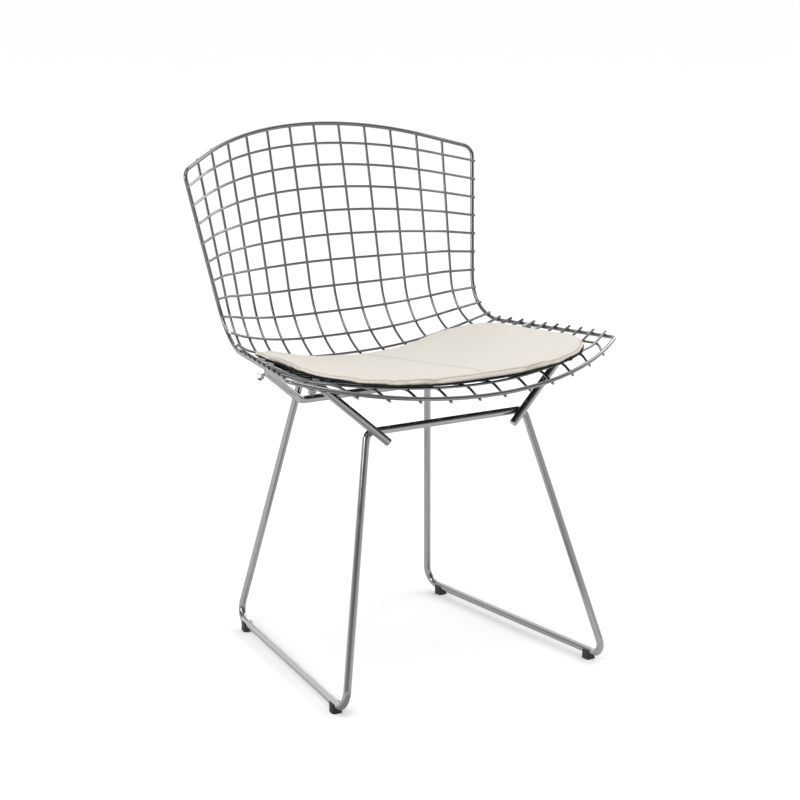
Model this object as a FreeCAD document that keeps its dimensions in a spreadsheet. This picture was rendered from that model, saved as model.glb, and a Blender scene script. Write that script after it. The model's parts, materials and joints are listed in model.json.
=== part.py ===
import FreeCAD, Part
import math
import os

os.makedirs("parts", exist_ok=True)

# Wire mesh side chair. Millimetres, Z up, floor at z = 0, sitter looks toward -Y, mirrored across x = 0.
V = FreeCAD.Vector
doc = FreeCAD.newDocument("wire_mesh_chair")
sheet = doc.addObject("Spreadsheet::Sheet", "dimensions")

# Driving dimensions. Heights of the shell and base are measured from the floor rail axis.
DIMENSIONS = {
    # distance from the measured shell datum to the middle of the chair's depth
    "plan_centre_y": 36.7,
    # rod and wire stock
    "mesh_wire_diameter": 4.0,
    "rim_rod_diameter": 6.0,
    "leg_rod_diameter": 11.0,
    "brace_rod_diameter": 12.0,
    "weld_sink": 0.3,
    # floor glides
    "glide_height_below_rod": 7.0,
    "glide_length": 15.0,
    "glide_width": 15.0,
    "glide_wrap_above_axis": 2.0,
    "glide_rod_clearance": 0.15,
    "glide_edge_radius": 2.5,
    "front_glide_from_corner": 37.5,
    "rear_glide_from_corner": 36.5,
    # rim: centres of the top and front bows, corner points, side bend point
    "top_bow_y": 315.3,
    "top_bow_z": 747.8,
    "top_corner_x": 249.5,
    "top_corner_y": 216.8,
    "top_corner_z": 706.1,
    "top_bow_tail": 71.0,
    "top_corner_radius": 18.0,
    "side_bend_x": 211.9,
    "side_bend_y": 151.5,
    "side_bend_z": 450.6,
    "side_bend_radius": 74.4,
    "front_bow_y": -247.2,
    "front_bow_z": 438.1,
    "front_corner_x": 271.2,
    "front_corner_y": -153.4,
    "front_corner_z": 469.7,
    "front_bow_tail": 19.9,
    "front_corner_radius": 14.0,
    # longitudinal wires: pitch along the top bow, across the seat bend, the lip and the front bow
    "middle_gap": 41.4,
    "top_pitch": 41.5,
    "bend_pitch": 40.1,
    "bend_pitch_change": -1.3,
    "lip_pitch": 44.8,
    "front_pitch": 44.3,
    "centre_bend_y": 222.6,
    "centre_bend_z": 387.3,
    "centre_bend_radius": 133.7,
    "bend_rise_power": 2.46,
    "lip_y": -212.6,
    "lip_z": 447.2,
    "lip_radius": 44.2,
    "lip_rise_power": 2.22,
    "long_wire_end": 2.4,
    # cross wires: first row and row pitches along the middle and along the side rim
    "centre_first_row": 30.9,
    "centre_first_pitch": 33.9,
    "centre_last_pitch": 44.4,
    "centre_row_past_bend": 33.0,
    "centre_row_to_rim": 28.8,
    "side_first_row": 21.2,
    "side_row_past_bend": 25.0,
    "side_row_to_corner": 22.0,
    "row_sweep_power": 2.34,
    "cross_wire_end": 5.0,
    # side frames and front bar
    "front_foot_x": 220.3,
    "front_foot_y": -218.0,
    "rear_foot_x": 170.9,
    "rear_foot_y": 218.8,
    "foot_bend_radius": 22.5,
    "front_shoulder_x": 131.9,
    "front_shoulder_y": -122.4,
    "front_shoulder_z": 371.9,
    "shoulder_bend_radius": 14.0,
    "rear_leg_lean_x": -0.1541,
    "rear_leg_lean_y": -0.2547,
    "rear_leg_top": 388.0,
    # rear U-bar
    "rear_bar_corner_x": 112.5,
    "rear_bar_z": 363.8,
    "rear_bar_bend_radius": 20.0,
    "arm_end_bend_radius": 15.0,
    # front struts
    "strut_low_x": 104.3,
    "strut_low_z": 357.0,
    "strut_lean_y": 0.2506,
    "strut_lean_z": 0.8992,
    # shell mounts
    "mount_hole_diameter": 6.4,
    "mount_bolt_diameter": 6.0,
    "mount_flat_depth": 1.5,
    "mount_upper_flat_length": 32.0,
    "mount_lower_flat_length": 20.0,
    "mount_rod_past_bolt": 9.0,
    "mount_tip_margin": 1.0,
    "mount_end_run": 12.0,
    "arm_mount_share": 0.42,
    "strut_mount_share": 0.4,
    "mount_gap": 0.15,
    "bolt_head_diameter": 11.0,
    "bolt_head_height": 2.8,
    "bolt_tail": 3.0,
    "bolt_socket_size": 4.0,
    "bolt_socket_depth": 1.6,
    "bolt_crown_radius": 1.6,
    "washer_diameter": 12.5,
    "washer_thickness": 1.5,
    "nut_across_flats": 10.0,
    "nut_height": 5.0,
    "thread_clearance": 0.1,
    "clip_width": 10.0,
    "clip_thickness": 1.1,
    "clip_hook_drop": 4.0,
    "clip_wire_clearance": 0.7,
    "clip_seat_margin": 1.5,
    # seat pad
    "pad_gap_above_mesh": 7.2,
    "pad_thickness": 10.6,
    "pad_cover_thickness": 1.4,
    "pad_sheet_margin": 12.0,
    "pad_layer_gap": 0.1,
    "pad_back_y": 134.0,
    "pad_back_quarter_x": 105.0,
    "pad_back_quarter_y": 141.0,
    "pad_back_corner_x": 172.0,
    "pad_back_corner_y": 131.0,
    "pad_waist_x": 208.0,
    "pad_waist_y": 72.0,
    "pad_side_x": 215.0,
    "pad_side_y": -20.0,
    "pad_front_side_x": 223.0,
    "pad_front_side_y": -137.0,
    "pad_front_corner_x": 206.0,
    "pad_front_corner_y": -172.0,
    "pad_front_y": -226.0,
    # push-on clips under the pad
    "pad_clip_length": 9.0,
    "pad_clip_wall": 2.2,
    "pad_clip_wire_clearance": 0.35,
    "pad_clip_leg_below_wire": 1.6,
}

COLUMNS = 6
ROWS = 20
BACK_ROWS = 9

for row, (alias, size) in enumerate(DIMENSIONS.items(), start=1):
    sheet.set("A%d" % row, alias.replace("_", " "))
    sheet.set("B%d" % row, "%g" % size)
    sheet.setAlias("B%d" % row, alias)
doc.recompute()


def dim(alias):
    return float(sheet.get(alias))


rail_height = dim("leg_rod_diameter") / 2 + dim("glide_height_below_rod")
lift = V(0, -dim("plan_centre_y"), rail_height)


def mirrored(point):
    return V(-point.x, point.y, point.z)


def unit(vector):
    return V(vector).normalize()


def line(start, end):
    return Part.LineSegment(start, end).toShape()


# The same chain of lines and arcs on the other side of the chair, walked the other way
def mirrored_chain(edges):
    chain = []
    for edge in reversed(edges):
        first = mirrored(edge.valueAt(edge.LastParameter))
        middle = mirrored(edge.valueAt((edge.FirstParameter + edge.LastParameter) / 2))
        last = mirrored(edge.valueAt(edge.FirstParameter))
        straight = isinstance(edge.Curve, Part.Line)
        chain.append(line(first, last) if straight else Part.Arc(first, middle, last).toShape())
    return chain


# Straight runs joined by tangent arcs
def rounded(points, radii):
    edges = []
    start = points[0]
    for before, corner, after, radius in zip(points, points[1:], points[2:], radii):
        back = unit(before - corner)
        ahead = unit(after - corner)
        half = back.getAngle(ahead) / 2
        reach = radius / math.tan(half)
        crown = corner + unit(back + ahead) * (radius / math.sin(half) - radius)
        edges.append(line(start, corner + back * reach))
        start = corner + ahead * reach
        edges.append(Part.Arc(corner + back * reach, crown, start).toShape())
    edges.append(line(start, points[-1]))
    return edges


# Point and direction at a distance along a chain of edges
def along(edges, distance):
    for edge in edges:
        if distance <= edge.Length or edge is edges[-1]:
            parameter = edge.getParameterByLength(min(distance, edge.Length))
            return edge.valueAt(parameter), unit(edge.tangentAt(parameter))
        distance -= edge.Length


# Two arcs that leave one point and reach the next in the given directions
def biarc(start, start_way, end, end_way):
    span = end - start
    both = start_way + end_way
    a = 2 * (1 - start_way.dot(end_way))
    b = 2 * span.dot(both)
    c = -span.dot(span)
    if a < 1e-9:
        reach = -c / b
    else:
        reach = (-b + math.sqrt(b * b - 4 * a * c)) / (2 * a)
    first = start + start_way * reach
    second = end - end_way * reach
    joint = (first + second) / 2
    edges = []
    for near, control, far in ((start, first, joint), (joint, second, end)):
        middle = (near + far) / 2
        bulge = middle.distanceToPoint(control)
        if bulge < 1e-4:
            edges.append(line(near, far))
            continue
        weight = near.distanceToPoint(far) / (2 * near.distanceToPoint(control))
        edges.append(Part.Arc(near, (middle + control * weight) / (1 + weight), far).toShape())
    return edges


def swept_rod(label, edges, diameter_alias):
    path = doc.addObject("Part::Feature", label + "_axis")
    path.Shape = Part.Wire(edges)
    start, way = along(edges, 0)
    ring = doc.addObject("Part::Circle", label + "_section")
    ring.setExpression("Radius", "dimensions.%s / 2" % diameter_alias)
    ring.Placement = FreeCAD.Placement(start, FreeCAD.Rotation(V(0, 0, 1), way))
    rod = doc.addObject("Part::Sweep", label)
    rod.Sections = [ring]
    rod.Spine = (path, [])
    rod.Solid = True
    rod.Frenet = False
    return rod


def group(label, members):
    compound = doc.addObject("Part::Compound", label)
    compound.Links = members
    return compound


wire_radius = dim("mesh_wire_diameter") / 2
rim_radius = dim("rim_rod_diameter") / 2
wire_on_wire = 2 * wire_radius - dim("weld_sink")
wire_on_rim = wire_radius + rim_radius - dim("weld_sink")

# Rim: bowed top and front, bent sides. A bow is an arc that runs on into a straight tail at each corner.
top_centre = V(0, dim("top_bow_y"), dim("top_bow_z")) + lift
top_corner = V(dim("top_corner_x"), dim("top_corner_y"), dim("top_corner_z")) + lift
side_bend = V(dim("side_bend_x"), dim("side_bend_y"), dim("side_bend_z")) + lift
front_corner = V(dim("front_corner_x"), dim("front_corner_y"), dim("front_corner_z")) + lift
front_centre = V(0, dim("front_bow_y"), dim("front_bow_z")) + lift


def bow_point(centre, corner, tail, distance=None):
    drop_way = V(0, corner.y - centre.y, corner.z - centre.z)
    turn = 2 * math.atan2(drop_way.Length, corner.x + tail)
    radius = (corner.x - tail * math.cos(turn)) / math.sin(turn)
    arc_length = radius * turn
    if distance is None:
        distance = arc_length
    swept = min(distance, arc_length) / radius
    beyond = max(distance - arc_length, 0)
    x = radius * math.sin(swept) + beyond * math.cos(turn)
    drop = radius * (1 - math.cos(swept)) + beyond * math.sin(turn)
    return V(x, 0, 0) + V(0, centre.y, centre.z) + unit(drop_way) * drop


top_bow_end = bow_point(top_centre, top_corner, dim("top_bow_tail"))
front_bow_end = bow_point(front_centre, front_corner, dim("front_bow_tail"))
corner_radii = [dim("front_corner_radius"), dim("side_bend_radius"), dim("top_corner_radius")]
right_side = [front_bow_end, front_corner, side_bend, top_corner, top_bow_end]
left_side = [mirrored(point) for point in reversed(right_side)]
rim_edges = rounded(right_side, corner_radii)
rim_edges.append(Part.Arc(top_bow_end, top_centre, mirrored(top_bow_end)).toShape())
rim_edges += rounded(left_side, corner_radii[::-1])
rim_edges.append(Part.Arc(mirrored(front_bow_end), front_centre, front_bow_end).toShape())
rim_wire = swept_rod("rim_rod", rim_edges, "rim_rod_diameter")

# Rows: distances down the middle of the shell and down the side rim. Pitches keep their proportions
# and are stretched to end a named distance past the seat bend and a named distance before the front rim.
def spaced(first, pitches, reach):
    factor = (reach - first) / sum(pitches)
    distances = [first]
    for pitch in pitches:
        distances.append(distances[-1] + pitch * factor)
    return distances


def row_distances(edges, first, back_pitches, past_bend, before_front):
    to_bend = edges[0].Length + edges[1].Length / 2
    total = sum(edge.Length for edge in edges)
    back = spaced(first, back_pitches, to_bend + past_bend)
    seat = spaced(back[-1], [1] * (ROWS - 1 - BACK_ROWS), total - before_front)
    return back + seat[1:]


side_edges = rounded([top_corner, side_bend, front_corner], [dim("side_bend_radius")])
bend_centre = V(0, dim("centre_bend_y"), dim("centre_bend_z")) + lift
lip_centre = V(0, dim("lip_y"), dim("lip_z")) + lift
centre_edges = rounded(
    [top_centre, bend_centre, lip_centre, front_centre], [dim("centre_bend_radius"), dim("lip_radius")]
)
spread = (dim("centre_last_pitch") - dim("centre_first_pitch")) / (BACK_ROWS - 1)
centre_pitches = [dim("centre_first_pitch") + spread * row for row in range(BACK_ROWS)]
centre_rows = row_distances(
    centre_edges, dim("centre_first_row"), centre_pitches, dim("centre_row_past_bend"), dim("centre_row_to_rim")
)
side_rows = row_distances(
    side_edges, dim("side_first_row"), [1] * BACK_ROWS, dim("side_row_past_bend"), dim("side_row_to_corner")
)
rim_points = [along(side_edges, distance) for distance in side_rows]
lip_corner = rim_points[-1][0]


# Middle surface of the mesh: corner points and bend radius of one longitudinal line
def long_line(column):
    half_gap = dim("middle_gap") / 2
    top = bow_point(top_centre, top_corner, dim("top_bow_tail"), half_gap + column * dim("top_pitch"))
    front = bow_point(front_centre, front_corner, dim("front_bow_tail"), half_gap + column * dim("front_pitch"))
    bend_x = half_gap + column * dim("bend_pitch") + column ** 2 * dim("bend_pitch_change")
    across = bend_x / side_bend.x
    rise = (V(0, side_bend.y, side_bend.z) - bend_centre) * across ** dim("bend_rise_power")
    bend = V(bend_x, 0, 0) + bend_centre + rise
    lip_x = half_gap + column * dim("lip_pitch")
    rise = V(0, lip_corner.y, lip_corner.z) - lip_centre
    rise = rise * (lip_x / lip_corner.x) ** dim("lip_rise_power")
    lip = V(lip_x, 0, 0) + lip_centre + rise
    radius = dim("centre_bend_radius")
    radius += (dim("side_bend_radius") - radius) * across ** 2
    return across, [top, bend, lip, front], radius


def row_distance(row, across):
    return centre_rows[row] + (side_rows[row] - centre_rows[row]) * across ** dim("row_sweep_power")


# Normals of the middle surface, toward the sitter, at every crossing and at the four points of each line
def surface_normal(edges, neighbour_inner, neighbour_outer, distance):
    point, way = along(edges, distance)
    across_way = neighbour_outer - neighbour_inner
    return unit(way.cross(across_way))


long_lines = [long_line(column) for column in range(COLUMNS)]
middle_paths = [rounded(points, [radius, dim("lip_radius")]) for _, points, radius in long_lines]
middle_grid = [
    [along(path, row_distance(row, long_lines[column][0]))[0] for row in range(ROWS)]
    for column, path in enumerate(middle_paths)
]
rim_line = [point for point, way in rim_points]


def neighbours(column, row):
    inner = middle_grid[column - 1][row] if column else mirrored(middle_grid[0][row])
    outer = middle_grid[column + 1][row] if column + 1 < COLUMNS else rim_line[row]
    return inner, outer


normals = []
for column, path in enumerate(middle_paths):
    across = long_lines[column][0]
    normals.append(
        [surface_normal(path, *neighbours(column, row), row_distance(row, across)) for row in range(ROWS)]
    )

# Longitudinal wires lie behind the middle surface, behind the top rim and under the front rim
half_layer = wire_on_wire / 2
long_paths = []
for column, (across, points, radius) in enumerate(long_lines):
    top, bend, lip, front = points
    at_bend = unit(normals[column][BACK_ROWS - 2] + normals[column][BACK_ROWS])
    front_way = unit(front - lip)
    at_front = normals[column][-1] - front_way * normals[column][-1].dot(front_way)
    top = top - normals[column][0] * wire_on_rim
    front = front - unit(at_front) * wire_on_rim
    bend = bend - at_bend * half_layer
    lip = lip - normals[column][-1] * half_layer
    top += unit(top - bend) * dim("long_wire_end")
    front += unit(front - lip) * dim("long_wire_end")
    radii = [radius + half_layer, dim("lip_radius") - half_layer]
    long_paths.append(rounded([top, bend, lip, front], radii))

long_wires = []
for number in range(2 * COLUMNS):
    side = 1 if number >= COLUMNS else -1
    column = number - COLUMNS if side > 0 else COLUMNS - 1 - number
    edges = long_paths[column] if side > 0 else mirrored_chain(long_paths[column])
    long_wires.append(swept_rod("long_wire_%02d" % (number + 1), edges, "mesh_wire_diameter"))

# Cross wires touch every longitudinal wire on the sitter's side and end on top of the side rim
KNOTS = (2, 4)
contacts = []
cross_wires = []
worst = 0
for row in range(ROWS):
    touch = []
    for column, path in enumerate(long_paths):
        distance = row_distance(row, long_lines[column][0]) + dim("long_wire_end")
        point, way = along(path, distance)
        normal = normals[column][row]
        normal = unit(normal - way * normal.dot(way))
        touch.append(point + normal * wire_on_wire)
    rim_point, rim_way = rim_points[row]
    rim_normal = unit(rim_way.cross(rim_point - middle_grid[-1][row]))
    touch.append(rim_point + rim_normal * wire_on_rim)
    contacts.append(touch)
    near, far = touch[0], touch[1]
    slope = (far - near) / (far.x ** 2 - near.x ** 2)
    middle = V(0, near.y - slope.y * near.x ** 2, near.z - slope.z * near.x ** 2)
    knots = [(middle, V(1, 0, 0))]
    for column in KNOTS:
        before, here, after = touch[column - 1:column + 2]
        back, ahead = here - before, after - here
        way = unit(unit(back) * ahead.Length + unit(ahead) * back.Length)
        knots.append((here, way))
    outer = unit(touch[-1] - touch[-2])
    knots.append((touch[-2], outer))
    edges = []
    for (start, start_way), (end, end_way) in zip(knots, knots[1:]):
        edges += biarc(start, start_way, end, end_way)
    edges.append(line(touch[-2], touch[-1] + outer * dim("cross_wire_end")))
    half = Part.Wire(edges)
    for point in touch:
        worst = max(worst, half.distToShape(Part.Vertex(point))[0])
    chain = mirrored_chain(edges) + edges
    cross_wires.append(swept_rod("cross_wire_%02d" % (row + 1), chain, "mesh_wire_diameter"))
print("largest miss of a cross wire at a crossing: %.2f mm" % worst)
doc.recompute()

# Side frames: shoulder bend, front leg, floor rail and rear leg in one rod
shoulder = V(dim("front_shoulder_x"), dim("front_shoulder_y"), dim("front_shoulder_z")) + lift
front_foot = V(dim("front_foot_x"), dim("front_foot_y"), 0) + lift
rear_foot = V(dim("rear_foot_x"), dim("rear_foot_y"), 0) + lift
leg_top = rear_foot + V(dim("rear_leg_lean_x"), dim("rear_leg_lean_y"), 1) * dim("rear_leg_top")
frame_points = [V(0, shoulder.y, shoulder.z), shoulder, front_foot, rear_foot, leg_top]
frame_radii = [dim("shoulder_bend_radius"), dim("foot_bend_radius"), dim("foot_bend_radius")]
half_bar, *frame_edges = rounded(frame_points, frame_radii)
bar_end = half_bar.valueAt(half_bar.LastParameter)
right_frame = swept_rod("side_frame_right", frame_edges, "leg_rod_diameter")
left_frame = swept_rod("side_frame_left", mirrored_chain(frame_edges), "leg_rod_diameter")
front_bar = swept_rod("front_bar", [line(mirrored(bar_end), bar_end)], "leg_rod_diameter")

# Shell mounts: a clip over two cross wires is bolted down to a flattened rod end.
# In a mount frame X points outward along the row, Z toward the sitter.
brace_radius = dim("brace_rod_diameter") / 2
flat_height = -(half_layer + wire_radius + dim("mount_gap"))
rod_depth = brace_radius - dim("mount_flat_depth") - flat_height


def frame_of(origin, x_way, z_way):
    return FreeCAD.Placement(origin, FreeCAD.Rotation(x_way, z_way.cross(x_way), z_way, "ZXY"))


# Origin, outward and normal directions of a mount, and the ends of the two wire runs that its clip holds
def mount_at(column, row, share):
    outer = middle_grid[column + 1] if column + 1 < COLUMNS else rim_line
    inner = middle_grid[column]
    inner_middle = (inner[row] + inner[row + 1]) / 2
    outer_middle = (outer[row] + outer[row + 1]) / 2
    origin = inner_middle + (outer_middle - inner_middle) * share
    outward = unit(outer_middle - inner_middle)
    normal = unit((inner[row + 1] - inner[row]).cross(outward))
    runs = contacts[row][column:column + 2] + contacts[row + 1][column:column + 2]
    return [origin, outward, normal] + runs


# Bend and tip of a rod that comes up from below and runs on under the shell, and its heading there
def rod_end(mount, below):
    origin, outward, normal = mount[:3]
    heading = origin - below
    heading = unit(heading - normal * heading.dot(normal))
    axis = origin - normal * rod_depth
    return axis - heading * dim("mount_end_run"), axis + heading * dim("mount_rod_past_bolt"), heading


ARM_ROW = 13
STRUT_ROW = 17
arm_mount = mount_at(COLUMNS - 1, ARM_ROW, dim("arm_mount_share"))
strut_mount = mount_at(COLUMNS - 2, STRUT_ROW, dim("strut_mount_share"))
mounts = []
for mount in (arm_mount, strut_mount):
    mounts += [mount, [mirrored(vector) for vector in mount]]
weld_distance = brace_radius + dim("leg_rod_diameter") / 2 - dim("weld_sink")


# Moves a rod along Y until its axis lies one weld distance from the frame axis
def settle(path_at, frame_path, first, second):
    miss = [Part.Wire(path_at(y)).distToShape(frame_path)[0] - weld_distance for y in (first, second)]
    for step in range(8):
        if abs(miss[1]) < 1e-4:
            break
        third = second - miss[1] * (second - first) / (miss[1] - miss[0])
        first, second = second, third
        miss = [miss[1], Part.Wire(path_at(second)).distToShape(frame_path)[0] - weld_distance]
    return path_at(second)


def arm_path(y):
    corner = V(dim("rear_bar_corner_x"), y, dim("rear_bar_z")) + lift
    bend, tip, heading = rod_end(arm_mount, corner)
    radii = [dim("rear_bar_bend_radius"), dim("arm_end_bend_radius")]
    return rounded([V(0, corner.y, corner.z), corner, bend, tip], radii)


def strut_path(y):
    low = V(dim("strut_low_x"), y, dim("strut_low_z")) + lift
    bend, tip, heading = rod_end(strut_mount, low)
    return rounded([low, bend, tip], [dim("arm_end_bend_radius")])


rear_leg_path = Part.Wire([frame_edges[-1]])
leg_y = dim("rear_foot_y") + dim("rear_leg_lean_y") * dim("rear_bar_z")
arm_edges = settle(arm_path, rear_leg_path, leg_y - 1.5 * weld_distance, leg_y - weld_distance)
bar_path = Part.Wire([line(V(0, shoulder.y, shoulder.z), bar_end)])
bar_y = dim("front_shoulder_y")
strut_edges = settle(strut_path, bar_path, bar_y - 1.5 * weld_distance, bar_y - weld_distance)


# Flats above and below a rod end, cut a little past its tip, and the hole across it
def rod_end_cutters(label, mount, below):
    origin, outward, normal = mount[:3]
    heading = rod_end(mount, below)[2]
    place = frame_of(origin, heading, normal)
    cutters = []
    for name in ("upper_flat", "lower_flat"):
        block = doc.addObject("Part::Box", label + "_" + name)
        block.setExpression("Length", "dimensions.mount_%s_length" % name)
        block.setExpression("Width", "dimensions.brace_rod_diameter * 2")
        block.setExpression("Height", "dimensions.brace_rod_diameter / 2")
        start = dim("mount_rod_past_bolt") + dim("mount_tip_margin") - dim("mount_%s_length" % name)
        height = flat_height
        if name == "lower_flat":
            height = flat_height - 2 * (brace_radius - dim("mount_flat_depth")) - brace_radius
        shift = FreeCAD.Placement(V(start, -2 * brace_radius, height), FreeCAD.Rotation())
        block.Placement = place * shift
        cutters.append(block)
    hole = doc.addObject("Part::Cylinder", label + "_hole")
    hole.setExpression("Radius", "dimensions.mount_hole_diameter / 2")
    hole.setExpression("Height", "dimensions.brace_rod_diameter * 3")
    hole.Placement = place * FreeCAD.Placement(V(0, 0, -4 * brace_radius), FreeCAD.Rotation())
    return cutters + [hole]


def cut(label, blank, cutters):
    tools = doc.addObject("Part::Compound", label + "_cutters")
    tools.Links = cutters
    result = doc.addObject("Part::Cut", label)
    result.Base = blank
    result.Tool = tools
    return result


arm_corner = arm_edges[0].valueAt(arm_edges[0].LastParameter)
bar_blank = swept_rod("rear_u_bar_blank", mirrored_chain(arm_edges) + arm_edges, "brace_rod_diameter")
cutters = rod_end_cutters("right_arm", arm_mount, arm_corner)
cutters += rod_end_cutters("left_arm", mounts[1], mirrored(arm_corner))
rear_u_bar = cut("rear_u_bar", bar_blank, cutters)
strut_low = strut_edges[0].valueAt(strut_edges[0].FirstParameter)
struts = []
for name, chain, mount, low in (
    ("front_strut_right", strut_edges, strut_mount, strut_low),
    ("front_strut_left", mirrored_chain(strut_edges), mounts[3], mirrored(strut_low)),
):
    blank = swept_rod(name + "_blank", chain, "brace_rod_diameter")
    struts.append(cut(name, blank, rod_end_cutters(name, mount, low)))

# Clip: a strip that hooks over two cross wires and dips to the rod flat between them
clips = []
bolts = []
washers = []
nuts = []
strip = dim("clip_thickness")
clip_floor = flat_height + strip / 2
over = wire_radius + dim("clip_wire_clearance") + strip / 2
for number, mount in enumerate(mounts, start=1):
    origin, outward, normal = mount[:3]
    place = frame_of(origin, outward, normal)
    inverse = place.inverse()
    runs = [inverse.multVec(point) for point in mount[3:]]
    ends = [near - (far - near) * (near.x / (far.x - near.x)) for near, far in (runs[:2], runs[2:])]
    ends.sort(key=lambda point: point.y)
    seat = dim("bolt_head_diameter") / 2 + dim("clip_seat_margin")
    rise = [
        (end.y + side * over, end.z + over - dim("clip_hook_drop"), end.z + over, end.y - side * over)
        for side, end in zip((-1, 1), ends)
    ]
    (low_y, low_hook, low_top, low_inner), (high_y, high_hook, high_top, high_inner) = rise
    profile = [
        V(0, low_y, low_hook), V(0, low_y, low_top), V(0, low_inner, low_top), V(0, -seat, clip_floor),
        V(0, seat, clip_floor), V(0, high_inner, high_top), V(0, high_y, high_top), V(0, high_y, high_hook),
    ]
    bends = [strip] * (len(profile) - 2)
    centre_line = Part.Wire(rounded(profile, bends))
    outline = doc.addObject("Part::Feature", "clip_outline_%d" % number)
    outline.Shape = centre_line.makeOffset2D(strip / 2, 0, False, False, False)
    band = doc.addObject("Part::Extrusion", "clip_band_%d" % number)
    band.Base = outline
    band.DirMode = "Custom"
    band.Dir = V(1, 0, 0)
    band.Solid = True
    band.Symmetric = True
    band.setExpression("LengthFwd", "dimensions.clip_width")
    hole = doc.addObject("Part::Cylinder", "clip_hole_%d" % number)
    hole.setExpression("Radius", "dimensions.mount_hole_diameter / 2")
    hole.setExpression("Height", "dimensions.brace_rod_diameter")
    hole.Placement.Base = V(0, 0, -dim("brace_rod_diameter"))
    clip = doc.addObject("Part::Cut", "clip_%d" % number)
    clip.Base = band
    clip.Tool = hole
    clip.Placement = place
    clips.append(clip)

    # Button head bolt down through clip and rod, washer and nut on the lower flat
    head_seat = clip_floor + strip / 2
    lower_flat = flat_height - 2 * (brace_radius - dim("mount_flat_depth"))
    nut_top = lower_flat - dim("washer_thickness")
    bolt_end = nut_top - dim("nut_height") - dim("bolt_tail")
    shank = doc.addObject("Part::Cylinder", "bolt_shank_%d" % number)
    shank.setExpression("Radius", "dimensions.mount_bolt_diameter / 2")
    shank.Height = head_seat - bolt_end
    shank.Placement.Base = V(0, 0, bolt_end)
    head = doc.addObject("Part::Cylinder", "bolt_head_%d" % number)
    head.setExpression("Radius", "dimensions.bolt_head_diameter / 2")
    head.setExpression("Height", "dimensions.bolt_head_height")
    head.Placement.Base = V(0, 0, head_seat)
    blank = doc.addObject("Part::Fuse", "bolt_blank_%d" % number)
    blank.Base = head
    blank.Tool = shank
    socket = doc.addObject("Part::Prism", "bolt_socket_%d" % number)
    socket.Polygon = 6
    socket.setExpression("Circumradius", "dimensions.bolt_socket_size / sqrt(3)")
    socket.setExpression("Height", "dimensions.bolt_socket_depth + 1")
    socket.Placement.Base = V(0, 0, head_seat + dim("bolt_head_height") - dim("bolt_socket_depth"))
    socketed = doc.addObject("Part::Cut", "bolt_socketed_%d" % number)
    socketed.Base = blank
    socketed.Tool = socket
    doc.recompute()
    crown_radius = dim("bolt_crown_radius")
    outside = dim("mount_bolt_diameter") / 2 + dim("thread_clearance")
    crown = [
        (index, crown_radius, crown_radius) for index, edge in enumerate(socketed.Shape.Edges, start=1)
        if isinstance(edge.Curve, Part.Circle) and edge.Curve.Radius > outside
        and edge.CenterOfMass.z > head_seat + dim("thread_clearance")
    ]
    bolt = doc.addObject("Part::Fillet", "bolt_%d" % number)
    bolt.Base = socketed
    bolt.Edges = crown
    bolt.Placement = place
    bolts.append(bolt)
    for label, size, height, top, store in (
        ("washer", "dimensions.washer_diameter / 2", "washer_thickness", lower_flat, washers),
        ("nut", "dimensions.nut_across_flats / sqrt(3)", "nut_height", nut_top, nuts),
    ):
        kind = "Part::Prism" if label == "nut" else "Part::Cylinder"
        ring = doc.addObject(kind, "%s_blank_%d" % (label, number))
        if label == "nut":
            ring.Polygon = 6
            ring.setExpression("Circumradius", size)
        else:
            ring.setExpression("Radius", size)
        ring.setExpression("Height", "dimensions." + height)
        ring.Placement.Base = V(0, 0, top - dim(height))
        bore = doc.addObject("Part::Cylinder", "%s_bore_%d" % (label, number))
        bore.setExpression("Radius", "dimensions.mount_bolt_diameter / 2 + dimensions.thread_clearance")
        bore.Height = 3 * dim(height)
        bore.Placement.Base = V(0, 0, top - 2 * dim(height))
        piece = doc.addObject("Part::Cut", "%s_%d" % (label, number))
        piece.Base = ring
        piece.Tool = bore
        piece.Placement = place
        store.append(piece)

# Floor glides: blocks pushed on to the rails from below
glides = []
rail_way = unit(rear_foot - front_foot)
for number, (foot, way, reach) in enumerate((
    (front_foot, rail_way, dim("front_glide_from_corner")),
    (rear_foot, rail_way * -1, dim("rear_glide_from_corner")),
), start=1):
    for side in ("right", "left"):
        centre = foot + way * reach
        ahead = V(way)
        if side == "left":
            centre = mirrored(centre)
            ahead = mirrored(ahead)
        place = frame_of(centre, ahead, V(0, 0, 1))
        block = doc.addObject("Part::Box", "glide_block_%s_%d" % (side, number))
        block.setExpression("Length", "dimensions.glide_length")
        block.setExpression("Width", "dimensions.glide_width")
        block.Height = rail_height + dim("glide_wrap_above_axis")
        block.Placement.Base = V(-dim("glide_length") / 2, -dim("glide_width") / 2, -rail_height)
        doc.recompute()
        softened = doc.addObject("Part::Fillet", "glide_softened_%s_%d" % (side, number))
        softened.Base = block
        edge_radius = dim("glide_edge_radius")
        softened.Edges = [
            (index, edge_radius, edge_radius) for index, edge in enumerate(block.Shape.Edges, start=1)
            if edge.BoundBox.ZLength > rail_height
        ]
        groove = doc.addObject("Part::Cylinder", "glide_groove_%s_%d" % (side, number))
        groove.setExpression("Radius", "dimensions.leg_rod_diameter / 2 + dimensions.glide_rod_clearance")
        groove.setExpression("Height", "dimensions.glide_length * 2")
        groove.Placement = FreeCAD.Placement(
            V(-dim("glide_length"), 0, 0), FreeCAD.Rotation(V(0, 0, 1), V(1, 0, 0))
        )
        glide = doc.addObject("Part::Cut", "glide_%s_%d" % (side, number))
        glide.Base = softened
        glide.Tool = groove
        glide.Placement = place
        glides.append(glide)

# Seat pad: sheets that follow the dish of the seat, trimmed to the pad outline
SEAT_ROWS = range(BACK_ROWS - 1, ROWS)


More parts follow.
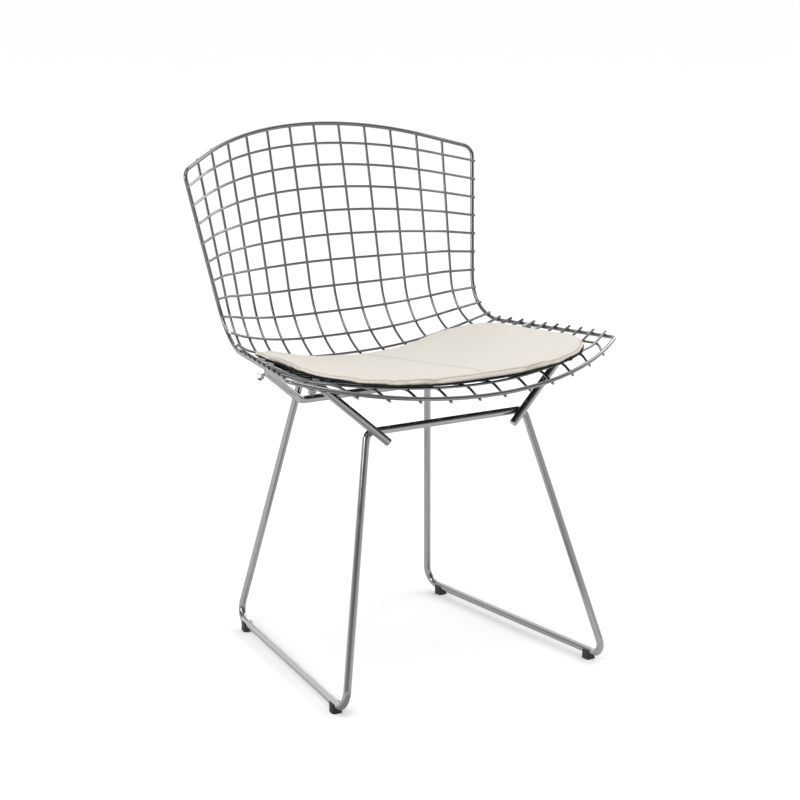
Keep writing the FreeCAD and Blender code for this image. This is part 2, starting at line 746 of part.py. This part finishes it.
def dish_sheet(label, height):
    grid = []
    for column in range(-COLUMNS - 1, COLUMNS + 1):
        place = column if column >= 0 else -column - 1
        points = rim_line if place == COLUMNS else middle_grid[place]
        front = front_corner if place == COLUMNS else long_lines[place][1][-1]
        beyond = front + unit(front - points[-1]) * dim("pad_sheet_margin")
        line_points = [points[row] for row in SEAT_ROWS] + [beyond]
        if column < 0:
            line_points = [mirrored(point) for point in line_points]
        grid.append([point + V(0, 0, height) for point in line_points])
    surface = Part.BSplineSurface()
    surface.interpolate(grid)
    sheet_face = doc.addObject("Part::Feature", label)
    sheet_face.Shape = surface.toShape()
    return sheet_face


def pad_layer(label, face, thickness, outline):
    slab = doc.addObject("Part::Extrusion", label + "_slab")
    slab.Base = face
    slab.DirMode = "Custom"
    slab.Dir = V(0, 0, 1)
    slab.Solid = True
    slab.LengthFwd = thickness
    prism = doc.addObject("Part::Extrusion", label + "_prism")
    prism.Base = outline
    prism.DirMode = "Custom"
    prism.Dir = V(0, 0, 1)
    prism.Solid = True
    prism.LengthFwd = dim("side_bend_z") * 2
    layer = doc.addObject("Part::Common", label)
    layer.Base = slab
    layer.Tool = prism
    return layer


# Pad outline in plan: smooth closed curve through the measured back, side and front points
right_outline = [
    V(0, dim("pad_back_y"), 0),
    V(dim("pad_back_quarter_x"), dim("pad_back_quarter_y"), 0),
    V(dim("pad_back_corner_x"), dim("pad_back_corner_y"), 0),
    V(dim("pad_waist_x"), dim("pad_waist_y"), 0),
    V(dim("pad_side_x"), dim("pad_side_y"), 0),
    V(dim("pad_front_side_x"), dim("pad_front_side_y"), 0),
    V(dim("pad_front_corner_x"), dim("pad_front_corner_y"), 0),
    V(0, dim("pad_front_y"), 0),
]
right_outline = [point + V(0, lift.y, 0) for point in right_outline]
left_outline = [mirrored(point) for point in reversed(right_outline[1:-1])]
outline_points = right_outline + left_outline
outer_curve = Part.BSplineCurve()
outer_curve.interpolate(outline_points, PeriodicFlag=True)
skin = dim("pad_cover_thickness")
layer_gap = dim("pad_layer_gap")


# The pad outline moved inward by the same distance at each of its points
def inset_face(distance):
    moved = []
    for point in outline_points:
        way = unit(outer_curve.tangent(outer_curve.parameter(point))[0])
        inward = V(-way.y, way.x, 0)
        if inward.dot(V(0, lift.y, 0) - point) < 0:
            inward = inward * -1
        moved.append(point + inward * distance)
    curve = Part.BSplineCurve()
    curve.interpolate(moved, PeriodicFlag=True)
    return Part.Face(Part.Wire([curve.toShape()]))


outlines = {}
for label, face in (
    ("pad_outline", inset_face(0)),
    ("pad_foam_outline", inset_face(skin + 2 * layer_gap)),
    ("pad_band_outline", inset_face(0).cut(inset_face(skin))),
):
    outlines[label] = doc.addObject("Part::Feature", label)
    outlines[label].Shape = face

pad_bottom = dim("pad_gap_above_mesh")
core_bottom = pad_bottom + skin + layer_gap
core_height = dim("pad_thickness") - 2 * (skin + layer_gap)
bottom_face = dish_sheet("pad_bottom_face", pad_bottom)
core_face = dish_sheet("pad_core_face", core_bottom)
top_face = dish_sheet("pad_top_face", core_bottom + core_height + layer_gap)
pad_bottom_panel = pad_layer("pad_bottom_panel", bottom_face, skin, outlines["pad_outline"])
pad_foam = pad_layer("pad_foam", core_face, core_height, outlines["pad_foam_outline"])
pad_side_band = pad_layer("pad_side_band", core_face, core_height, outlines["pad_band_outline"])
pad_top_panel = pad_layer("pad_top_panel", top_face, skin, outlines["pad_outline"])

# Push-on clips: blocks under the pad with a slot that straddles a cross wire and opens downward
PAD_CLIP_ROWS = (12, 16)
PAD_CLIP_COLUMN = 1
pad_clips = []
pad_body_space = doc.addObject("Part::Extrusion", "pad_body_space")
pad_body_space.Base = bottom_face
pad_body_space.DirMode = "Custom"
pad_body_space.Dir = V(0, 0, 1)
pad_body_space.Solid = True
pad_body_space.setExpression("LengthFwd", "dimensions.pad_thickness")
half_slot = wire_radius + dim("pad_clip_wire_clearance")
half_width = half_slot + dim("pad_clip_wall")
for row in PAD_CLIP_ROWS:
    inner, outer = contacts[row][PAD_CLIP_COLUMN:PAD_CLIP_COLUMN + 2]
    for side in ("right", "left"):
        ends = [inner, outer] if side == "right" else [mirrored(inner), mirrored(outer)]
        centre = (ends[0] + ends[1]) / 2
        wire_way = unit(ends[1] - ends[0])
        place = frame_of(centre, unit(V(wire_way.x, wire_way.y, 0)), V(0, 0, 1))
        name = "pad_clip_%s_%d" % (side, row)
        middle = (middle_grid[PAD_CLIP_COLUMN][row] + middle_grid[PAD_CLIP_COLUMN + 1][row]) / 2
        top = middle.z + pad_bottom + dim("pad_thickness") / 3 - centre.z
        block = doc.addObject("Part::Box", name + "_block")
        block.setExpression("Length", "dimensions.pad_clip_length")
        block.Width = 2 * half_width
        block.Height = top + dim("pad_clip_leg_below_wire")
        block.Placement = place * FreeCAD.Placement(
            V(-dim("pad_clip_length") / 2, -half_width, -dim("pad_clip_leg_below_wire")), FreeCAD.Rotation()
        )
        slot = doc.addObject("Part::Box", name + "_slot")
        slot.setExpression("Length", "dimensions.pad_clip_length * 2")
        slot.Width = 2 * half_slot
        slot.Height = 4 * wire_radius
        slot.Placement = place * FreeCAD.Placement(
            V(-dim("pad_clip_length"), -half_slot, -4 * wire_radius), FreeCAD.Rotation()
        )
        saddle = doc.addObject("Part::Cylinder", name + "_saddle")
        saddle.Radius = half_slot
        saddle.setExpression("Height", "dimensions.pad_clip_length * 2")
        saddle.Placement = FreeCAD.Placement(
            centre - wire_way * dim("pad_clip_length"), FreeCAD.Rotation(V(0, 0, 1), wire_way)
        )
        pad_clips.append(cut(name, block, [slot, saddle, pad_body_space]))

parts = [rim_wire] + long_wires + cross_wires
parts += [left_frame, right_frame, front_bar, rear_u_bar] + struts
parts.append(group("floor_glides", glides))
parts.append(group("mount_clips", clips))
parts.append(group("mount_bolts", bolts))
parts.append(group("mount_washers", washers))
parts.append(group("mount_nuts", nuts))
parts += [pad_top_panel, pad_side_band, pad_bottom_panel, pad_foam]
parts.append(group("pad_clips", pad_clips))
doc.recompute()

for item in doc.Objects:
    for state in ("Invalid", "Error"):
        if state in item.State:
            raise RuntimeError("%s is %s" % (item.Label, state))
for part in parts:
    if part.Shape.isNull() or not part.Shape.isValid():
        raise RuntimeError("%s has no valid shape" % part.Label)
for part in parts:
    part.Shape.exportStep("parts/%s.step" % part.Label)
print("%d parts written" % len(parts))
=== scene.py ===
import json
import math
import bmesh
import bpy
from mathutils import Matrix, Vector, kdtree


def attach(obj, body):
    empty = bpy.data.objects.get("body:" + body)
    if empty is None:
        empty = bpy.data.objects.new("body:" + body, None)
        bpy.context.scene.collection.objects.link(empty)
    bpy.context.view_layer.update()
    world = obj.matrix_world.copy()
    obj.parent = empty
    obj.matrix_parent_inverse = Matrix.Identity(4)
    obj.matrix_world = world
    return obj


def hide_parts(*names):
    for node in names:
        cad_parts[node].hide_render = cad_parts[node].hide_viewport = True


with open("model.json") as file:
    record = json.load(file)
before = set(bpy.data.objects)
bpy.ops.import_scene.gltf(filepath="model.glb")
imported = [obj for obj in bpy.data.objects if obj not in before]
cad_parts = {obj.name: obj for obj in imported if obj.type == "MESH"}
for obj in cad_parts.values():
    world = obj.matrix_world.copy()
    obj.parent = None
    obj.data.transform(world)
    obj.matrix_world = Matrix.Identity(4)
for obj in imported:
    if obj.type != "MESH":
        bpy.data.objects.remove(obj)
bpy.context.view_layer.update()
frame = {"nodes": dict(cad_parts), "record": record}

nodes = frame["nodes"]
scene = bpy.context.scene


# small helpers for node trees
def link(tree, source, output, target, socket):
    tree.links.new(source.outputs[output], target.inputs[socket])


def addNode(tree, kind, inputs=None, **settings):
    node = tree.nodes.new(kind)
    for key, value in settings.items():
        setattr(node, key, value)
    for key, value in (inputs or {}).items():
        node.inputs[key].default_value = value
    return node


def addMix(tree, inputs, blend="MIX"):
    return addNode(tree, "ShaderNodeMix", inputs, data_type="RGBA", blend_type=blend)


def newGroup(name, inputs, outputs):
    group = bpy.data.node_groups.new(name, "ShaderNodeTree")
    for label, default in inputs.items():
        socket = group.interface.new_socket(label, in_out="INPUT", socket_type="NodeSocketFloat")
        socket.default_value = default
    for label, kind in outputs.items():
        group.interface.new_socket(label, in_out="OUTPUT", socket_type="NodeSocket" + kind)
    return group, group.nodes.new("NodeGroupInput"), group.nodes.new("NodeGroupOutput")


# handling marks and fine polish lines: a roughness that wanders a little, and a faint normal
def polishGroup():
    group, start, end = newGroup(
        "PolishMarks",
        {"Scale": 60.0, "Low": 0.05, "High": 0.14, "Ripple": 0.02},
        {"Roughness": "Float", "Normal": "Vector"},
    )
    place = addNode(group, "ShaderNodeTexCoord")
    smudge = addNode(group, "ShaderNodeTexNoise", {"Detail": 4.0, "Roughness": 0.6})
    spread = addNode(group, "ShaderNodeMapRange", {"From Min": 0.35, "From Max": 0.7})
    ripple = addNode(group, "ShaderNodeTexNoise", {"Scale": 900.0, "Detail": 2.0})
    bump = addNode(group, "ShaderNodeBump", {"Distance": 0.0002})
    link(group, place, "Object", smudge, "Vector")
    link(group, start, "Scale", smudge, "Scale")
    link(group, smudge, "Fac", spread, "Value")
    link(group, start, "Low", spread, "To Min")
    link(group, start, "High", spread, "To Max")
    link(group, place, "Object", ripple, "Vector")
    link(group, ripple, "Fac", bump, "Height")
    link(group, start, "Ripple", bump, "Strength")
    link(group, spread, "Result", end, "Roughness")
    link(group, bump, "Normal", end, "Normal")
    return group


# pebbled grain with finer pores over it, and a cloudy tone
def grainGroup():
    group, start, end = newGroup(
        "PebbleGrain",
        {"Size": 520.0, "Depth": 0.25, "Tone": 0.06},
        {"Tone": "Float", "Height": "Float", "Roughness": "Float"},
    )
    place = addNode(group, "ShaderNodeTexCoord")
    cells = addNode(group, "ShaderNodeTexVoronoi", {"Randomness": 0.9}, feature="DISTANCE_TO_EDGE")
    pores = addNode(group, "ShaderNodeTexNoise", {"Scale": 1500.0, "Detail": 3.0})
    cloud = addNode(group, "ShaderNodeTexNoise", {"Scale": 9.0, "Detail": 5.0, "Roughness": 0.55})
    pebble = addNode(group, "ShaderNodeMapRange", {"From Max": 0.25}, interpolation_type="SMOOTHSTEP")
    mixed = addNode(group, "ShaderNodeMath", {1: 0.35}, operation="MULTIPLY_ADD")
    depth = addNode(group, "ShaderNodeMath", operation="MULTIPLY")
    tone = addNode(group, "ShaderNodeMath", operation="MULTIPLY")
    matt = addNode(group, "ShaderNodeMapRange", {"To Min": 0.42, "To Max": 0.58})
    for texture in (cells, pores, cloud):
        link(group, place, "Object", texture, "Vector")
    link(group, start, "Size", cells, "Scale")
    link(group, cells, "Distance", pebble, "Value")
    link(group, pores, "Fac", mixed, 0)
    link(group, pebble, "Result", mixed, 2)
    link(group, mixed, "Value", depth, 0)
    link(group, start, "Depth", depth, 1)
    link(group, cloud, "Fac", tone, 0)
    link(group, start, "Tone", tone, 1)
    link(group, cloud, "Fac", matt, "Value")
    link(group, tone, "Value", end, "Tone")
    link(group, depth, "Value", end, "Height")
    link(group, matt, "Result", end, "Roughness")
    return group


polish = polishGroup()
grain = grainGroup()


def newMaterial(name, **constants):
    material = bpy.data.materials.new(name)
    material.use_nodes = True
    shader = material.node_tree.nodes["Principled BSDF"]
    for socket, value in constants.items():
        shader.inputs[socket.replace("_", " ")].default_value = value
    return material, material.node_tree, shader


def marked(look, **constants):
    material, tree, shader = newMaterial(look["name"], Base_Color=look["colour"], **constants)
    marks = addNode(tree, "ShaderNodeGroup", look["marks"], node_tree=polish)
    link(tree, marks, "Roughness", shader, "Roughness")
    link(tree, marks, "Normal", shader, "Normal")
    return material


metalLooks = {
    "chrome_rod": {
        "name": "polishedChromeRod",
        "colour": (0.37, 0.373, 0.375, 1),
        "marks": {"Scale": 60.0, "Low": 0.07, "High": 0.14, "Ripple": 0.02},
    },
    # the wires are the same chrome as the rods: their darker colour is painted shade, for the shade among
    # the crossed wires
    "chrome_wire": {
        "name": "shadedChromeWire",
        "colour": (0.25, 0.252, 0.254, 1),
        "marks": {"Scale": 90.0, "Low": 0.16, "High": 0.26, "Ripple": 0.0},
    },
    "zinc_hardware": {
        "name": "zincPlate",
        "colour": (0.4, 0.405, 0.41, 1),
        "marks": {"Scale": 60.0, "Low": 0.25, "High": 0.4, "Ripple": 0.08},
    },
    "dark_hardware": {
        "name": "blackOxide",
        "colour": (0.1, 0.1, 0.105, 1),
        "marks": {"Scale": 60.0, "Low": 0.3, "High": 0.45, "Ripple": 0.08},
    },
}

nylonMarks = {"Scale": 60.0, "Low": 0.45, "High": 0.65, "Ripple": 0.3}
nylonLooks = {
    "black_glide": {"name": "blackNylon", "colour": (0.018, 0.018, 0.018, 1), "marks": nylonMarks},
    "clip_plastic": {"name": "darkNylon", "colour": (0.06, 0.06, 0.06, 1), "marks": nylonMarks},
}
nylonShine = 0.4

leatherLook = {
    "dull": (0.556, 0.519, 0.462, 1),
    "clear": (0.596, 0.562, 0.51, 1),
    "sewn": (0.62, 0.57, 0.5, 1),  # painted shade: multiplies the tone in the sewn line, and more weakly in the fold
    "cloudiness": 0.06,
    "bumpStrength": 0.5,
    "bumpDepth": 0.0006,
    "shine": 0.35,
}


# ivory leather: the painted shade in the sewn line and the fold, and their bump, come from the attribute
# that sew() writes
def leather():
    look = leatherLook
    material, tree, shader = newMaterial("ivoryLeather", Specular_IOR_Level=look["shine"])
    hide = addNode(tree, "ShaderNodeGroup", node_tree=grain)
    seam = addNode(tree, "ShaderNodeAttribute", attribute_name="seam")
    tone = addMix(tree, {"A": look["dull"], "B": look["clear"]})
    shade = addMix(tree, {"B": look["sewn"]}, "MULTIPLY")
    lower = addNode(tree, "ShaderNodeMath", operation="SUBTRACT")
    bump = addNode(tree, "ShaderNodeBump", {"Strength": look["bumpStrength"], "Distance": look["bumpDepth"]})
    spread = addNode(tree, "ShaderNodeMapRange", {"From Max": look["cloudiness"]})
    link(tree, hide, "Tone", spread, "Value")
    link(tree, spread, "Result", tone, "Factor")
    link(tree, tone, "Result", shade, "A")
    link(tree, seam, "Fac", shade, "Factor")
    link(tree, shade, "Result", shader, "Base Color")
    link(tree, hide, "Height", lower, 0)
    link(tree, seam, "Fac", lower, 1)
    link(tree, lower, "Value", bump, "Height")
    link(tree, bump, "Normal", shader, "Normal")
    link(tree, hide, "Roughness", shader, "Roughness")
    return material


feltLook = {
    "deep": (0.006, 0.006, 0.006, 1),
    "fibre": (0.028, 0.028, 0.028, 1),
    "fibreScale": 700.0,
    "bondScale": 330.0,
    "bondWeight": 0.6,
    "bumpStrength": 0.6,
    "bumpDepth": 0.0004,
    "shine": 0.15,
}


# black non-woven backing: matted fibres and faint point bonding
def feltCloth():
    look = feltLook
    material, tree, shader = newMaterial("blackBacking", Specular_IOR_Level=look["shine"])
    place = addNode(tree, "ShaderNodeTexCoord")
    fibre = addNode(
        tree, "ShaderNodeTexNoise",
        {"Scale": look["fibreScale"], "Detail": 6.0, "Roughness": 0.7, "Distortion": 1.5},
    )
    bonds = addNode(
        tree, "ShaderNodeTexVoronoi",
        {"Scale": look["bondScale"], "Randomness": 0.15}, feature="F1",
    )
    level = addNode(tree, "ShaderNodeMath", {1: look["bondWeight"]}, operation="MULTIPLY_ADD")
    tint = addMix(tree, {"A": look["deep"], "B": look["fibre"]})
    rough = addNode(tree, "ShaderNodeMapRange", {"To Min": 0.8, "To Max": 1.0})
    bump = addNode(tree, "ShaderNodeBump", {"Strength": look["bumpStrength"], "Distance": look["bumpDepth"]})
    for texture in (fibre, bonds):
        link(tree, place, "Object", texture, "Vector")
    link(tree, bonds, "Distance", level, 0)
    link(tree, fibre, "Fac", level, 2)
    link(tree, fibre, "Fac", tint, "Factor")
    link(tree, tint, "Result", shader, "Base Color")
    link(tree, fibre, "Fac", rough, "Value")
    link(tree, rough, "Result", shader, "Roughness")
    link(tree, level, "Value", bump, "Height")
    link(tree, bump, "Normal", shader, "Normal")
    return material


finishes = {slot: marked(look, Metallic=1.0) for slot, look in metalLooks.items()}
for slot, look in nylonLooks.items():
    finishes[slot] = marked(look, Specular_IOR_Level=nylonShine)
finishes["pad_leather"] = leather()
finishes["pad_backing"] = feltCloth()
print("stage: materials")

# the CAD nodes keep their shape and only get these finishes; the foam has none, inside the sewn pad
slotOf = {entry["node"]: entry["material_slot"] for entry in frame["record"]["subparts"]}
for name, piece in nodes.items():
    if slotOf[name] in finishes:
        piece.data.materials.clear()
        piece.data.materials.append(finishes[slotOf[name]])
print("stage: frame finishes")

weldDistance = 1e-5


# a CAD node is loose triangles, so a copy of it is merged before it is worked on
def mergedCopy(name):
    bm = bmesh.new()
    bm.from_mesh(nodes[name].data)
    bmesh.ops.remove_doubles(bm, verts=bm.verts, dist=weldDistance)
    return bm


def addPiece(name, bm):
    mesh = bpy.data.meshes.new(name)
    bm.to_mesh(mesh)
    bm.free()
    piece = bpy.data.objects.new(name, mesh)
    scene.collection.objects.link(piece)
    return piece


def applyModifiers(piece):
    depsgraph = bpy.context.evaluated_depsgraph_get()
    done = bpy.data.meshes.new_from_object(piece.evaluated_get(depsgraph))
    piece.modifiers.clear()
    piece.data = done


# seat pad: grown from the foam solid, puffed by a short cloth run, then sewn
padForm = {
    "cover": 0.0011,
    "voxel": 0.0045,
    "pressure": 4.0,
    "frames": 20,
    "underSlope": -0.3,  # faces that look down more than this stay on the backing
    "cap": 0.0035,  # no point moves further than this
    "smoothing": 0.5,
    "smoothTimes": 3,
    "edgeAngle": 0.8,
    "edgeStep": 0.0004,
    "topSlope": 0.25,  # the sewing is on faces that look up more than this
    "fineSlope": 0.2,
    "seamInset": 0.0055,
    "seamWidth": 0.0016,
    "seamDepth": 0.0009,
    "seamFine": 2.2,  # widths to each side that get smaller faces
    "foldWidth": 0.0035,
    "foldDepth": 0.0006,
    "foldFine": 1.6,
    "foldShade": 0.6,  # how much of the sewn line's painted shade the fold takes
    "valleyWidth": 0.06,
    "valleyDepth": 0.0016,
}


def buildPad(form):
    pad = addPiece("seatPad", mergedCopy("pad_foam"))
    swell = pad.modifiers.new("swell", "DISPLACE")
    swell.strength = form["cover"]
    swell.mid_level = 0.0
    remesh = pad.modifiers.new("remesh", "REMESH")
    remesh.mode = "VOXEL"
    remesh.voxel_size = form["voxel"]
    applyModifiers(pad)
    puff(pad, form)
    smooth = pad.modifiers.new("smooth", "SMOOTH")
    smooth.factor = form["smoothing"]
    smooth.iterations = form["smoothTimes"]
    refine = pad.modifiers.new("refine", "SUBSURF")
    refine.levels = 1
    refine.render_levels = 1
    applyModifiers(pad)
    outline = outlineTree(form)
    refineSeam(pad, outline, form)
    sew(pad, outline, form)
    for polygon in pad.data.polygons:
        polygon.use_smooth = True
    return pad


# the underside stays on its backing while the rest swells
def puff(pad, form):
    rest = [vertex.co.copy() for vertex in pad.data.vertices]
    under = [normal.vector.z < form["underSlope"] for normal in pad.data.vertex_normals]
    cloth = pad.modifiers.new("cloth", "CLOTH")
    cloth.settings.use_pressure = True
    cloth.settings.uniform_pressure_force = form["pressure"]
    cloth.settings.effector_weights.gravity = 0
    cloth.point_cache.frame_start = 1
    cloth.point_cache.frame_end = form["frames"]
    for step in range(1, form["frames"] + 1):
        scene.frame_set(step)
    applyModifiers(pad)
    for vertex, before, held in zip(pad.data.vertices, rest, under):
        move = vertex.co - before
        if held:
            move.z = max(0.0, move.z)
        if move.length > form["cap"]:
            move = move.normalized() * form["cap"]
        vertex.co = before + move
    scene.frame_set(1)


# finds the plan distance to the pad's outline: close points along the sharp edges of the foam
def outlineTree(form):
    bm = mergedCopy("pad_foam")
    spots = []
    for edge in bm.edges:
        if edge.calc_face_angle(0) > form["edgeAngle"]:
            start, end = edge.verts[0].co, edge.verts[1].co
            count = int((end - start).length / form["edgeStep"]) + 1
            spots += [start.lerp(end, part / count) for part in range(count)]
    bm.free()
    tree = kdtree.KDTree(len(spots))
    for index, spot in enumerate(spots):
        tree.insert((spot.x, spot.y, 0), index)
    tree.balance()
    return tree


# smaller faces where the seam and the fold run
def refineSeam(pad, outline, form):
    bm = bmesh.new()
    bm.from_mesh(pad.data)
    near = set()
    for face in bm.faces:
        middle = face.calc_center_median()
        distance = outline.find((middle.x, middle.y, 0))[2]
        onSeam = abs(distance - form["seamInset"]) < form["seamFine"] * form["seamWidth"]
        onFold = abs(middle.x) < form["foldFine"] * form["foldWidth"]
        if face.normal.z > form["fineSlope"] and (onSeam or onFold):
            near.update(face.edges)
    edges = [edge for edge in bm.edges if edge in near]
    bmesh.ops.subdivide_edges(bm, edges=edges, cuts=1, use_grid_fill=True)
    bm.to_mesh(pad.data)
    bm.free()


# 1 in the middle of a line and 0 from its width outwards, smooth at both
def dip(distance, width):
    return max(0.0, 1.0 - (distance / width) ** 2) ** 2 if distance < width else 0.0


# the sewn line inside the edge, the fold down the middle and the shallow valley that the fold lies in: all
# dented, and the line and the fold also marked for painted shade
def sew(pad, outline, form):
    mesh = pad.data
    normals = [normal.vector.copy() for normal in mesh.vertex_normals]
    places = [vertex.co.copy() for vertex in mesh.vertices]
    marks = []
    for place, normal in zip(places, normals):
        distance = outline.find((place.x, place.y, 0))[2]
        line = fold = valley = 0.0
        if normal.z > form["topSlope"]:
            line = dip(abs(distance - form["seamInset"]), form["seamWidth"])
            inside = min(1.0, max(0.0, distance / form["seamInset"] - 1.0))
            fold = inside * dip(abs(place.x), form["foldWidth"])
            valley = inside * max(0.0, 1.0 - abs(place.x) / form["valleyWidth"])
        # this mark darkens the leather's colour: painted shade in the sewn line and the fold
        marks.append(max(line, form["foldShade"] * fold))
        place.z -= line * form["seamDepth"] + fold * form["foldDepth"] + valley * form["valleyDepth"]
    mesh.vertices.foreach_set("co", [axis for place in places for axis in place])
    mesh.attributes.new("seam", "FLOAT", "POINT").data.foreach_set("value", marks)
    mesh.update()


seatPad = buildPad(padForm)
seatPad.data.materials.append(finishes["pad_leather"])
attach(seatPad, "pad")
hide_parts("pad_top_panel", "pad_side_band", "pad_foam")
print("stage: seat pad", len(seatPad.data.polygons), "faces")

# black backing sewn under the pad: drawn in from the edge along its own slope, then softened
backingForm = {
    "rimAngle": 0.9,
    "wallSlope": 0.5,  # faces steeper than this are the sheet's edge
    "drawIn": 0.0028,
    "soften": 0.0004,
}


def buildBacking(form):
    bm = mergedCopy("pad_bottom_panel")
    rims = [edge for edge in bm.edges if edge.calc_face_angle(0) > form["rimAngle"]]
    moves = {}
    for vert in {vert for edge in rims for vert in edge.verts}:
        wall, flat = Vector(), Vector()
        for face in vert.link_faces:
            if abs(face.normal.z) < form["wallSlope"]:
                wall += face.normal
            else:
                flat += face.normal
        wall.z = 0
        inward = -wall.normalized() * form["drawIn"]
        inward.z = -(flat.x * inward.x + flat.y * inward.y) / flat.z
        moves[vert] = inward
    for vert, inward in moves.items():
        vert.co += inward
    bmesh.ops.bevel(
        bm, geom=rims, offset=form["soften"], segments=2, profile=0.5, affect="EDGES",
        material=-1, clamp_overlap=True,
    )
    return addPiece("padBacking", bm)


padBacking = buildBacking(backingForm)
padBacking.data.materials.append(finishes["pad_backing"])
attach(padBacking, "pad")
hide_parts("pad_bottom_panel")
print("stage: pad backing", len(padBacking.data.polygons), "faces")

# floor: what shines sees it greyer than it is, and darker still in a strip in front of the chair
floorForm = {
    "reach": 30.0,
    "colour": (0.93, 0.93, 0.93, 1),
    "roughness": 0.9,
    "shine": 0.1,
    "mirrored": (0.78, 0.78, 0.785, 1),
    "mirroredStrip": (0.4, 0.4, 0.402, 1),
    "stripWay": (-0.497, -0.868, 0.0),
    "stripFade": {"From Min": 0.88, "From Max": 0.98},
}


def floorFinish(form):
    material, tree, shader = newMaterial(
        "paleFloor", Roughness=form["roughness"], Specular_IOR_Level=form["shine"]
    )
    rays = addNode(tree, "ShaderNodeLightPath")
    place = addNode(tree, "ShaderNodeTexCoord")
    way = addNode(tree, "ShaderNodeVectorMath", operation="NORMALIZE")
    strip = addNode(tree, "ShaderNodeVectorMath", {1: form["stripWay"]}, operation="DOT_PRODUCT")
    fade = addNode(tree, "ShaderNodeMapRange", form["stripFade"], interpolation_type="SMOOTHSTEP")
    mirrored = addMix(tree, {"A": form["mirrored"], "B": form["mirroredStrip"]})
    tone = addMix(tree, {"A": form["colour"]})
    link(tree, place, "Object", way, 0)
    link(tree, way, "Vector", strip, 0)
    link(tree, strip, "Value", fade, "Value")
    link(tree, fade, "Result", mirrored, "Factor")
    link(tree, mirrored, "Result", tone, "B")
    link(tree, rays, "Is Glossy Ray", tone, "Factor")
    link(tree, tone, "Result", shader, "Base Color")
    return material


bm = bmesh.new()
bmesh.ops.create_grid(bm, x_segments=1, y_segments=1, size=floorForm["reach"])
floor = addPiece("floor", bm)
floor.data.materials.append(floorFinish(floorForm))

# studio: a white dome lights the floor, and what shines sees a darker room with a bright backdrop
studioForm = {
    "domeLow": 1.3,
    "domeHigh": 0.95,
    "roomSpan": {"From Min": -0.1, "From Max": 1.0},
    "horizon": (0.95, 0.95, 0.96, 1),
    "walls": {
        0.22: (0.72, 0.72, 0.7344, 1),
        0.4: (0.22, 0.22, 0.2244, 1),
        0.6: (0.12, 0.12, 0.1224, 1),
    },
    "ceiling": (0.5, 0.5, 0.5, 1),
    "backdrop": (1.35, 1.35, 1.36, 1),
    "backdropWay": (0.497, 0.868, 0.0),
    "backdropFade": {"From Min": 0.1, "From Max": 0.6},
}


def buildStudio(form):
    world = bpy.data.worlds.new("studio")
    world.use_nodes = True
    scene.world = world
    tree = world.node_tree
    room = tree.nodes["Background"]
    dome = addNode(tree, "ShaderNodeBackground", {"Color": (1.0, 1.0, 1.0, 1)})
    slope = addNode(tree, "ShaderNodeMapRange", {"To Min": form["domeLow"], "To Max": form["domeHigh"]})
    place = addNode(tree, "ShaderNodeTexCoord")
    split = addNode(tree, "ShaderNodeSeparateXYZ")
    height = addNode(tree, "ShaderNodeMapRange", form["roomSpan"])
    ramp = addNode(tree, "ShaderNodeValToRGB")
    stops = ramp.color_ramp.elements
    stops[0].color = form["horizon"]
    stops[1].color = form["ceiling"]
    for position, colour in form["walls"].items():
        stops.new(position).color = colour
    back = addNode(tree, "ShaderNodeVectorMath", {1: form["backdropWay"]}, operation="DOT_PRODUCT")
    fade = addNode(tree, "ShaderNodeMapRange", form["backdropFade"], interpolation_type="SMOOTHSTEP")
    backdrop = addMix(tree, {"B": form["backdrop"]})
    rays = addNode(tree, "ShaderNodeLightPath")
    choose = addNode(tree, "ShaderNodeMixShader")
    link(tree, place, "Generated", split, "Vector")
    link(tree, split, "Z", slope, "Value")
    link(tree, slope, "Result", dome, "Strength")
    link(tree, split, "Z", height, "Value")
    link(tree, height, "Result", ramp, "Fac")
    link(tree, place, "Generated", back, 0)
    link(tree, back, "Value", fade, "Value")
    link(tree, fade, "Result", backdrop, "Factor")
    link(tree, ramp, "Color", backdrop, "A")
    link(tree, backdrop, "Result", room, "Color")
    link(tree, rays, "Is Glossy Ray", choose, "Fac")
    link(tree, dome, "Background", choose, 1)
    link(tree, room, "Background", choose, 2)
    link(tree, choose, "Shader", tree.nodes["World Output"], "Surface")


buildStudio(studioForm)

# soft square lamps, all turned to the seat
lampForm = {
    "left": {"place": (-3.2, -0.6, 2.2), "size": 1.6, "power": 34.0},
    "right": {"place": (3.0, 0.8, 2.4), "size": 1.4, "power": 20.0},
    "top": {"place": (-0.6, -1.2, 4.0), "size": 1.2, "power": 22.0},
}
lampAim = Vector((0, 0, 0.35))
for name, form in lampForm.items():
    data = bpy.data.lights.new(name, "AREA")
    data.shape = "SQUARE"
    data.size = form["size"]
    data.energy = form["power"]
    lamp = bpy.data.objects.new(name, data)
    lamp.location = form["place"]
    lamp.rotation_euler = (lampAim - Vector(form["place"])).to_track_quat("-Z", "Y").to_euler()
    scene.collection.objects.link(lamp)
scene.view_settings.view_transform = "Standard"
print("stage: studio")

# camera at the photograph's viewpoint
cameraForm = {
    "place": (-1.6916, -2.9577, 1.2571),
    "yaw": 0.5232,
    "pitch": 0.2521,
    "lens": 105.79,
    "sensor": 36.0,
}
cameraData = bpy.data.cameras.new("camera")
cameraData.sensor_width = cameraForm["sensor"]
cameraData.lens = cameraForm["lens"]
camera = bpy.data.objects.new("camera", cameraData)
camera.location = cameraForm["place"]
camera.rotation_euler = (math.pi / 2 - cameraForm["pitch"], 0, -cameraForm["yaw"])
scene.collection.objects.link(camera)
scene.camera = camera
print("stage: camera")
